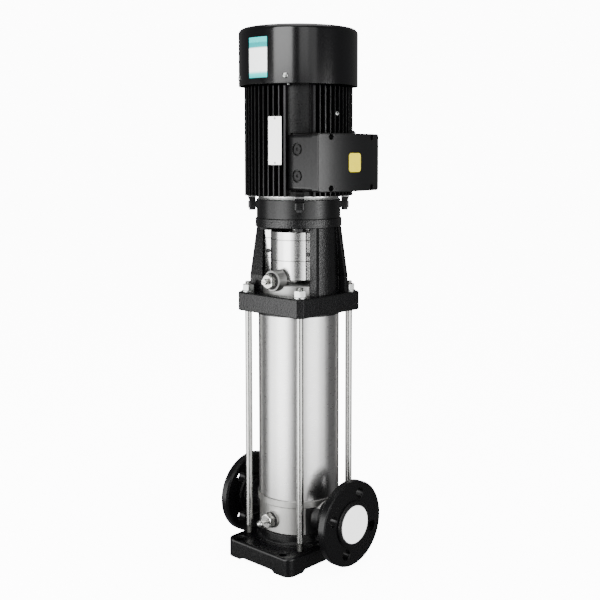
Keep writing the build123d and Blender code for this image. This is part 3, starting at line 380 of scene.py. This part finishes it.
def skin(bm, matrix, rows, closed=True):
    """Joins rows of points, each a closed loop unless told otherwise, into a grid of quads."""
    made = [[bm.verts.new(matrix @ Vector(point)) for point in row] for row in rows]
    count = len(made[0])
    for low, high in zip(made, made[1:]):
        for index in range(count if closed else count - 1):
            after = (index + 1) % count
            bm.faces.new((low[index], low[after], high[after], high[index]))
    return made


def cap_off(bm, matrix, row, centre):
    middle = bm.verts.new(matrix @ Vector(centre))
    for index, vert in enumerate(row):
        bm.faces.new((vert, row[(index + 1) % len(row)], middle))


def turned(bm, matrix, profile, segments=SEGMENTS):
    """A solid turned from (radius, height) points, closed with a disc at both ends."""
    rows = [[(r * cos(2 * pi * i / segments), r * sin(2 * pi * i / segments), z) for i in range(segments)]
            for r, z in profile]
    made = skin(bm, matrix, rows)
    cap_off(bm, matrix, made[0], (0, 0, profile[0][1]))
    cap_off(bm, matrix, made[-1], (0, 0, profile[-1][1]))


def hex_radius(flats, turn):
    """Distance from the axis to a hexagon's side in a direction."""
    step = pi / 3
    return flats / 2 / cos((turn % step) - step / 2)


def hexagon_head(bm, matrix, flats, height, bore=0.0, both_ends=False):
    """Hexagon with its corners chamfered at 30 degrees; a bore leaves it a nut."""
    slope = 0.577  # a 30 degree chamfer
    rows = []
    turns = [2 * pi * i / SEGMENTS for i in range(SEGMENTS)]

    def row(radius, level):
        return [(radius(t) * cos(t), radius(t) * sin(t), level(t)) for t in turns]

    def corner_drop(t):
        return (hex_radius(flats, t) - flats / 2) * slope

    foot = (lambda t: corner_drop(t)) if both_ends else (lambda t: 0.0)
    rows.append(row(lambda t: bore, lambda t: 0.0))
    if both_ends:
        rows.append(row(lambda t: flats / 2, lambda t: 0.0))
    rows.append(row(lambda t: hex_radius(flats, t), foot))
    rows.append(row(lambda t: hex_radius(flats, t), lambda t: height - corner_drop(t)))
    rows.append(row(lambda t: flats / 2, lambda t: height))
    if bore:
        rows.append(row(lambda t: bore + 0.6, lambda t: height))
        rows.append(row(lambda t: bore, lambda t: height - 0.6))
        made = skin(bm, matrix, rows)
        for i in range(SEGMENTS):
            after = (i + 1) % SEGMENTS
            bm.faces.new((made[-1][i], made[-1][after], made[0][after], made[0][i]))
    else:
        rows[0] = row(lambda t: 0.01, lambda t: 0.0)
        rows.append(row(lambda t: flats / 2 - 1.5, lambda t: height))
        made = skin(bm, matrix, rows)
        cap_off(bm, matrix, made[-1], (0, 0, height))


def pan_head(bm, matrix, radius, height, recess=True):
    """Round screw head with a cross recess."""
    rings = 16
    arm = 0.56 * radius
    half_width = 0.13 * radius
    depth = 0.55 * height

    def top(x, y):
        r = sqrt(x * x + y * y) / radius
        dome = height * (1 - 0.35 * r ** 2 - 0.5 * max(0.0, r - 0.75) ** 2 * 8)
        if not recess:
            return dome
        cut = 0.0
        for along, across in ((x, y), (y, x)):
            inside = min((half_width - abs(across)) / (0.5 * half_width), (arm - abs(along)) / (0.3 * arm))
            cut = max(cut, min(1.0, max(0.0, inside)))
        return dome - depth * cut

    rows = []
    for ring in range(rings, 0, -1):
        r = radius * ring / rings
        row = []
        for i in range(SEGMENTS):
            x, y = r * cos(2 * pi * i / SEGMENTS), r * sin(2 * pi * i / SEGMENTS)
            row.append((x, y, top(x, y)))
        rows.append(row)
    foot = [(x, y, -0.05) for x, y, _ in rows[0]]
    made = skin(bm, matrix, [foot] + rows)
    cap_off(bm, matrix, made[-1], (0, 0, top(0, 0)))
    cap_off(bm, matrix, made[0], (0, 0, -0.05))


def threaded_rod(bm, matrix, radius, spans):
    """Rod along Z. Each span is (start, end, pitch); a pitch of 0 leaves it plain."""
    segments = 32
    depth = 0.08 * 2 * radius
    rows = []
    for start, end, pitch in spans:
        steps = 1 if not pitch else max(1, int((end - start) / pitch * 8))
        for step in range(steps + 1):
            z = start + (end - start) * step / steps
            row = []
            for i in range(segments):
                turn = i / segments
                r = radius
                if pitch:
                    phase = (z / pitch - turn) % 1.0
                    r -= depth * (1 - abs(2 * phase - 1)) * min(1.0, (z - start + 0.3) / 1.0)
                row.append((r * cos(2 * pi * turn), r * sin(2 * pi * turn), z))
            rows.append(row)
    skin(bm, matrix, rows)
    for end in (0, -1):
        z = rows[end][0][2]
        shift = 1.0 if end else -1.0
        tip = [(0.82 * x, 0.82 * y, z + shift) for x, y, _ in rows[end]]
        tip_verts = skin(bm, matrix, [rows[end], tip])
        cap_off(bm, matrix, tip_verts[-1], (0, 0, z + shift))


def curved_patch(bm, radius, thickness, start, end, bottom, top, columns=24):
    """Thin curved sheet on an upright cylinder, between two azimuths."""
    angles = [radians(start + (end - start) * i / columns) for i in range(columns + 1)]

    def line(r, z):
        return [(r * cos(t), r * sin(t), z) for t in angles]

    skin(bm, Matrix.Identity(4), [line(radius, bottom), line(radius + thickness, bottom),
                                  line(radius + thickness, top), line(radius, top), line(radius, bottom)],
         closed=False)
    for t in (angles[0], angles[-1]):
        corners = [(radius, bottom), (radius + thickness, bottom), (radius + thickness, top), (radius, top)]
        bm.faces.new([bm.verts.new(Vector((r * cos(t), r * sin(t), z))) for r, z in corners])


# ---------------------------------------------------------------- fasteners and plugs
ROD_AT = 59.7
THREAD_PITCH = 1.75
PLAIN_ROD = (44.5, 440.0)
DIAGONALS = (45, 135, 225, 315)
STOOL_BOLT_R, STOOL_BOLT_HEAD_Z = 57.5, 556.0
SHIELD_BOLT_R, SHIELD_BOLT_HEAD_Z = 77.0, 587.0
PLUG_FACE_Y = -71.5
VENT_X, VENT_Z = 6.0, 470.0
DRAIN_X, DRAIN_Z = 3.0, 71.0
COVER_SCREW_Z = 798.5
FRAME_WALL_R = 70.0
UPPER_EARTH = (-4, 740.0)
LOWER_EARTH = (40, 709.5)
COVER_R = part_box("fan_cover")[1].x / MM
FIN_TIP_R = -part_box("motor_frame")[0].x / MM
CORNERS = [(x, y) for x in (-ROD_AT, ROD_AT) for y in (-ROD_AT, ROD_AT)]


def build_tie_rods(bm):
    lo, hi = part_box("tie_rods")
    for x, y in CORNERS:
        threaded_rod(bm, upright_frame(x, y, 0), 5.8, [
            (lo.z / MM + 1.0, 30.0, 0), (30.0, PLAIN_ROD[0], THREAD_PITCH), (*PLAIN_ROD, 0),
            (PLAIN_ROD[1], hi.z / MM - 1.0, THREAD_PITCH)])


def build_rod_nuts(bm):
    lo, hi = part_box("tie_rod_nuts")
    for x, y in CORNERS:
        turn = Matrix.Rotation(radians(15), 4, "Z")
        hexagon_head(bm, upright_frame(x, y, lo.z / MM) @ turn, 18.0, (hi.z - lo.z) / MM, bore=5.7, both_ends=True)


def build_plug(bm, x, y, z, height):
    """Hexagon plug facing -Y."""
    matrix = polar_frame(-90, 0, 0)
    matrix.translation = Vector((x, y, z))
    hexagon_head(bm, matrix, 22.0, height)
    turned(bm, matrix, [(7.5, -9.0), (7.5, 0.2)], 32)


def build_vent_plug(bm):
    build_plug(bm, VENT_X, PLUG_FACE_Y, VENT_Z, 9.0)


def build_drain_plug(bm):
    build_plug(bm, DRAIN_X, PLUG_FACE_Y, DRAIN_Z, 11.0)


def build_drain_knob(bm):
    """Bleed screw of the drain plug: short neck and a rounded knob."""
    matrix = polar_frame(-90, 0, 0)
    matrix.translation = Vector((DRAIN_X, PLUG_FACE_Y - 11.0, DRAIN_Z))
    ball_r, ball_at = 5.8, 12.6
    ball = [(ball_r * sin(radians(t)), ball_at - ball_r * cos(radians(t))) for t in range(30, 176, 10)]
    turned(bm, matrix, [(2.5, -9.0), (2.6, ball_at - ball_r * cos(radians(30)) - 1)] + ball, 40)


def build_stool_bolts(bm):
    """Hexagon bolts under the stool's top ring, heads down."""
    for angle in DIAGONALS:
        x, y = STOOL_BOLT_R * cos(radians(angle)), STOOL_BOLT_R * sin(radians(angle))
        hexagon_head(bm, upright_frame(x, y, STOOL_BOLT_HEAD_Z, -1), 13.0, 5.5)
        turned(bm, upright_frame(x, y, STOOL_BOLT_HEAD_Z), [(4.0, -0.5), (4.0, 26.0)], 24)


def build_shield_bolts(bm):
    """Hexagon bolts through the shield's ears, heads down."""
    for angle in DIAGONALS:
        x, y = SHIELD_BOLT_R * cos(radians(angle)), SHIELD_BOLT_R * sin(radians(angle))
        hexagon_head(bm, upright_frame(x, y, SHIELD_BOLT_HEAD_Z, -1), 10.0, 4.0)
        turned(bm, upright_frame(x, y, SHIELD_BOLT_HEAD_Z), [(3.0, -0.5), (3.0, 28.0)], 24)


def build_cover_screws(bm):
    for angle in (-122, -58, 58, 122):
        matrix = polar_frame(angle, COVER_R, COVER_SCREW_Z)
        pan_head(bm, matrix, 4.4, 2.4)
        turned(bm, matrix, [(2.0, -12.0), (2.0, 0.3)], 24)


def build_earth_bosses(bm):
    turned(bm, polar_frame(UPPER_EARTH[0], FRAME_WALL_R, UPPER_EARTH[1]), [(4.6, 0.0), (4.2, FIN_TIP_R - 69.6)], 32)
    turned(bm, polar_frame(LOWER_EARTH[0], FRAME_WALL_R, LOWER_EARTH[1]), [(6.2, 0.0), (5.2, 22.5)], 32)


def build_earth_screws(bm):
    pan_head(bm, polar_frame(UPPER_EARTH[0], FIN_TIP_R + 0.4, UPPER_EARTH[1]), 3.6, 2.2)
    pan_head(bm, polar_frame(LOWER_EARTH[0], FRAME_WALL_R + 22.5, LOWER_EARTH[1]), 4.0, 2.6)
    for angle in (-115, -57, 57, 115):
        pan_head(bm, polar_frame(angle, 85.6, 786.0), 2.2, 1.6, recess=False)


new_piece("threaded_tie_rods", "turned_stainless", "pump_body", build_tie_rods, ["tie_rods"], rolled_rod())
new_piece("chamfered_rod_nuts", "plated_steel", "pump_body", build_rod_nuts, ["tie_rod_nuts"])
new_piece("vent_plug_hexagon", "turned_stainless", "pump_body", build_vent_plug, ["vent_plug"])
new_piece("drain_plug_hexagon", "turned_stainless", "pump_body", build_drain_plug, ["drain_plug"])
new_piece("drain_knob", "turned_stainless", "drain_screw", build_drain_knob, ["drain_screw"])
new_piece("stool_hexagon_bolts", "plated_steel", "pump_body", build_stool_bolts, ["stool_bolts"],
          FINISHES["black_oxide_steel"])
new_piece("shield_hexagon_bolts", "black_oxide_steel", "pump_body", build_shield_bolts, ["shield_bolts"])
new_piece("cross_recess_cover_screws", "plated_steel", "pump_body", build_cover_screws, ["cover_screws"])
new_piece("earth_screw_bosses", "black_painted_aluminium", "pump_body", build_earth_bosses)
new_piece("earth_screws", "plated_steel", "pump_body", build_earth_screws)


# ---------------------------------------------------------------- bare label and plates
LABEL_TURNS = (-98.5, -76)
LABEL_Z = (796.0, 859.5)
NAMEPLATE_TURN, NAMEPLATE_Z = -70, 697.0


def label_finish(bottom, top):
    """Glossy vinyl label with nothing printed on it but a cyan band at each end."""
    material = worked_surface("plain_banded_vinyl_label", ("ffffff", "ffffff"), 14.0, (0.24, 0.30), 14.0, 0.02, 0.2,
                              edge_mm=0.1, ior=1.5)
    place = add_node(material, "ShaderNodeTexCoord").outputs["Object"]
    z = add_node(material, "ShaderNodeSeparateXYZ", {"Vector": place}).outputs["Z"]
    height = add_node(material, "ShaderNodeMapRange", {"Value": z, "From Min": bottom * MM, "From Max": top * MM})
    ramp = add_node(material, "ShaderNodeValToRGB", {"Fac": height.outputs["Result"]})
    bands = ramp.color_ramp
    bands.elements[0].color = colour("009c9c")
    bands.elements[1].color = colour("12b4b2")
    for place, shade in ((0.10, "30c4c0"), (0.17, "f4f8f8"), (0.72, "f6f9f9"), (0.76, "009496"), (0.86, "008c8e"),
                         (0.88, "12b4b2")):
        bands.elements.new(place).color = colour(shade)
    material.node_tree.links.new(ramp.outputs["Color"], shader_of(material).inputs["Base Color"])
    return material


def plate_finish():
    """Anodised aluminium plate, nearly white, with fine brushing along its length."""
    return worked_surface("brushed_anodised_aluminium_plate", ("f6f6f4", "fdfdfc"), 30.0, (0.30, 0.42), 0.5, 0.004,
                          0.3, run=(1.0, 1.0, 0.06), edge_mm=0.2, metallic=0.1)


def build_label(bm):
    curved_patch(bm, COVER_R + 0.05, 0.18, *LABEL_TURNS, *LABEL_Z)


def rounded_slab(bm, matrix, length, width, radius, thickness):
    """Flat plate with rounded corners: length along local X, width along local Y."""
    outline = []
    for cx, cy, start in ((1, 1, 0), (-1, 1, 90), (-1, -1, 180), (1, -1, 270)):
        for step in range(7):
            t = radians(start + 15 * step)
            outline.append((cx * (length / 2 - radius) + radius * cos(t), cy * (width / 2 - radius) + radius * sin(t)))
    edge = 0.15
    rows = [[(x, y, 0) for x, y in outline],
            [(x, y, thickness - edge) for x, y in outline],
            [(x * (1 - edge / length), y * (1 - edge / width), thickness) for x, y in outline]]
    made = skin(bm, matrix, rows)
    cap_off(bm, matrix, made[0], (0, 0, 0))
    cap_off(bm, matrix, made[-1], (0, 0, thickness))


def build_nameplate(bm):
    rounded_slab(bm, polar_frame(NAMEPLATE_TURN, FIN_TIP_R + 0.2, NAMEPLATE_Z), 76.0, 22.6, 1.2, 0.8)


def build_plate_rivets(bm):
    for z in (NAMEPLATE_Z - 35.0, NAMEPLATE_Z + 35.0):
        matrix = polar_frame(NAMEPLATE_TURN, FIN_TIP_R + 1.0, z)
        turned(bm, matrix, [(1.7, -0.2), (1.6, 0.3), (1.1, 0.8), (0.3, 1.0)], 24)


def build_lid_sticker(bm):
    matrix = polar_frame(0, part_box("terminal_lid")[1].x / MM - 0.35, 662.5)
    matrix.translation.y = 2.0
    rounded_slab(bm, matrix, 30.0, 28.0, 5.0, 0.5)


def sticker_finish():
    """Plain yellow vinyl with nothing on it: flat colour under a soft gloss."""
    return worked_surface("plain_yellow_vinyl", ("cdbd00", "d6c600"), 9.0, (0.30, 0.38), 9.0, 0.01, 0.2, edge_mm=0.1,
                          ior=1.5)


def build_plate_edge(bm):
    """Rim round the stool's square plate, with bevelled corners. It is wider than the solid:
    the solid's plate is 143 mm across and this makes it 150.8 mm."""
    lo, hi = 415.0, 446.0
    half, corner, round_off = 75.4, 8.0, 1.6
    outline = []
    for sx, sy in ((1, 1), (-1, 1), (-1, -1), (1, -1)):
        ends = [(half, half - corner), (half - corner, half)]
        if sx * sy < 0:
            ends.reverse()
        outline += [(sx * x, sy * y) for x, y in ends]
    inner = 70.5 / half
    levels = [(inner, lo), ((half - round_off) / half, lo), (1.0, lo + round_off), (1.0, hi - round_off),
              ((half - round_off) / half, hi), (inner, hi), (inner, lo)]
    skin(bm, Matrix.Identity(4), [[(x * grow, y * grow, z) for x, y in outline] for grow, z in levels])


new_piece("stool_plate_edge", "black_cast_iron", "pump_body", build_plate_edge, finish=NODE_FINISHES["motor_stool"])
new_piece("lid_sticker", "white_plastic", "pump_body", build_lid_sticker, finish=sticker_finish())
new_piece("fan_cover_label", "white_plastic", "pump_body", build_label, finish=label_finish(*LABEL_Z))
new_piece("motor_nameplate", "bright_stainless_sheet", "pump_body", build_nameplate, finish=plate_finish())
new_piece("nameplate_rivets", "plated_steel", "pump_body", build_plate_rivets)


# ---------------------------------------------------------------- studio
def studio_floor():
    mesh = bpy.data.meshes.new("studio_floor")
    half = 12.0
    mesh.from_pydata([(-half, -half, 0), (half, -half, 0), (half, half, 0), (-half, half, 0)], [], [(0, 1, 2, 3)])
    floor = bpy.data.objects.new("studio_floor", mesh)
    bpy.context.collection.objects.link(floor)
    material = bpy.data.materials.new("matte_white_sweep")
    material.use_nodes = True
    shader_of(material).inputs["Base Color"].default_value = colour("f4f4f4")
    shader_of(material).inputs["Roughness"].default_value = 0.9
    shader_of(material).inputs["Emission Color"].default_value = (1, 1, 1, 1)
    shader_of(material).inputs["Emission Strength"].default_value = FLOOR_GLOW
    mesh.materials.append(material)
    floor.visible_glossy = False
    floor.visible_diffuse = False


def softbox(name, swing, heights, radiance, distance=1.7):
    """An upright soft light between two angles from the camera's side and two heights in metres."""
    middle = radians(CAMERA_AZIMUTH + (swing[0] + swing[1]) / 2)
    width = 2 * distance * tan(radians(swing[1] - swing[0]) / 2)
    light = bpy.data.lights.new(name, "AREA")
    light.shape = "RECTANGLE"
    light.size, light.size_y = width, heights[1] - heights[0]
    light.energy = radiance * pi * light.size * light.size_y
    lamp = bpy.data.objects.new(name, light)
    height = (heights[0] + heights[1]) / 2
    lamp.location = (distance * cos(middle), distance * sin(middle), height)
    lamp.rotation_euler = (Vector((0, 0, height)) - lamp.location).to_track_quat("-Z", "Y").to_euler()
    lamp.visible_camera = False
    bpy.context.collection.objects.link(lamp)


def overhead_light(size, height, radiance):
    light = bpy.data.lights.new("overhead_softbox", "AREA")
    light.size = size
    light.energy = radiance * pi * size * size
    lamp = bpy.data.objects.new("overhead_softbox", light)
    lamp.location = (0, 0, height)
    lamp.visible_camera = False
    bpy.context.collection.objects.link(lamp)


def dark_flag(name, swing, distance, width):
    """Narrow black card beside the camera, which only the bright metal mirrors."""
    turn = radians(CAMERA_AZIMUTH + swing)
    centre = Vector((distance * cos(turn), distance * sin(turn), 0))
    side = Vector((-sin(turn), cos(turn), 0)) * width / 2
    mesh = bpy.data.meshes.new(name)
    mesh.from_pydata([centre - side, centre + side, centre + side + UP * 1.6, centre - side + UP * 1.6], [],
                     [(0, 1, 2, 3)])
    card = bpy.data.objects.new(name, mesh)
    bpy.context.collection.objects.link(card)
    material = bpy.data.materials.new("black_flag_cloth")
    material.use_nodes = True
    shader_of(material).inputs["Base Color"].default_value = colour("101010")
    shader_of(material).inputs["Roughness"].default_value = 1.0
    mesh.materials.append(material)
    card.visible_camera = False
    card.visible_diffuse = False
    card.visible_shadow = False


def studio_world():
    """White surround for the camera and for soft fill, dim surround for what metal mirrors."""
    world = bpy.data.worlds.new("studio")
    bpy.context.scene.world = world
    world.use_nodes = True
    tree = world.node_tree
    background = tree.nodes["Background"]
    path = tree.nodes.new("ShaderNodeLightPath")
    level = tree.nodes.new("ShaderNodeMapRange")
    level.inputs["To Min"].default_value = FILL_LEVEL
    level.inputs["To Max"].default_value = MIRROR_LEVEL
    tree.links.new(path.outputs["Is Glossy Ray"], level.inputs["Value"])
    seen = tree.nodes.new("ShaderNodeMix")
    seen.inputs[3].default_value = BACKDROP_LEVEL
    tree.links.new(path.outputs["Is Camera Ray"], seen.inputs[0])
    tree.links.new(level.outputs["Result"], seen.inputs[2])
    tree.links.new(seen.outputs[0], background.inputs["Strength"])
    background.inputs["Color"].default_value = (1, 1, 1, 1)


def studio_camera():
    camera = bpy.data.cameras.new("camera")
    camera.lens = 59.3
    camera.shift_x = -0.029
    camera.shift_y = -0.1128
    holder = bpy.data.objects.new("camera", camera)
    holder.location = (1.14298, -1.18965, 0.67936)
    holder.rotation_euler = (radians(90 - 4.655), 0, radians(42.761))
    bpy.context.collection.objects.link(holder)
    bpy.context.scene.camera = holder


studio_floor()
studio_world()
studio_camera()
# Low lights draw the bands on the sleeve, middle ones the fins and lid, high ones the cover.
softbox("sleeve_key_outer", (-92, -64), (-0.45, 0.56), 5.5)
softbox("sleeve_key", (-64, -32), (-0.45, 0.56), 9.0)
softbox("sleeve_key_inner", (-32, -20), (-0.45, 0.56), 3.0)
softbox("sleeve_right_inner", (10, 22), (-0.45, 0.50), 2.5)
softbox("sleeve_right", (22, 58), (-0.45, 0.50), 5.5)
softbox("sleeve_right_outer", (58, 78), (-0.45, 0.50), 2.2)
softbox("fin_light_left", (-62, -24), (0.58, 0.86), 3.0)
softbox("fin_light_right", (26, 52), (0.56, 0.88), 1.8)
softbox("lid_strip", (50, 65), (0.48, 0.80), 15.0)
softbox("box_side_light", (-104, -74), (0.50, 0.86), 0.8)
softbox("cover_key", (-46, -11), (0.90, 1.9), 9.0)
softbox("cover_right", (2, 17), (0.93, 1.6), 2.2)
softbox("cover_right_fade", (16, 34), (0.90, 1.6), 1.3)
overhead_light(2.0, 2.6, 3.0)
dark_flag("camera_flag", -2, 1.35, 0.14)
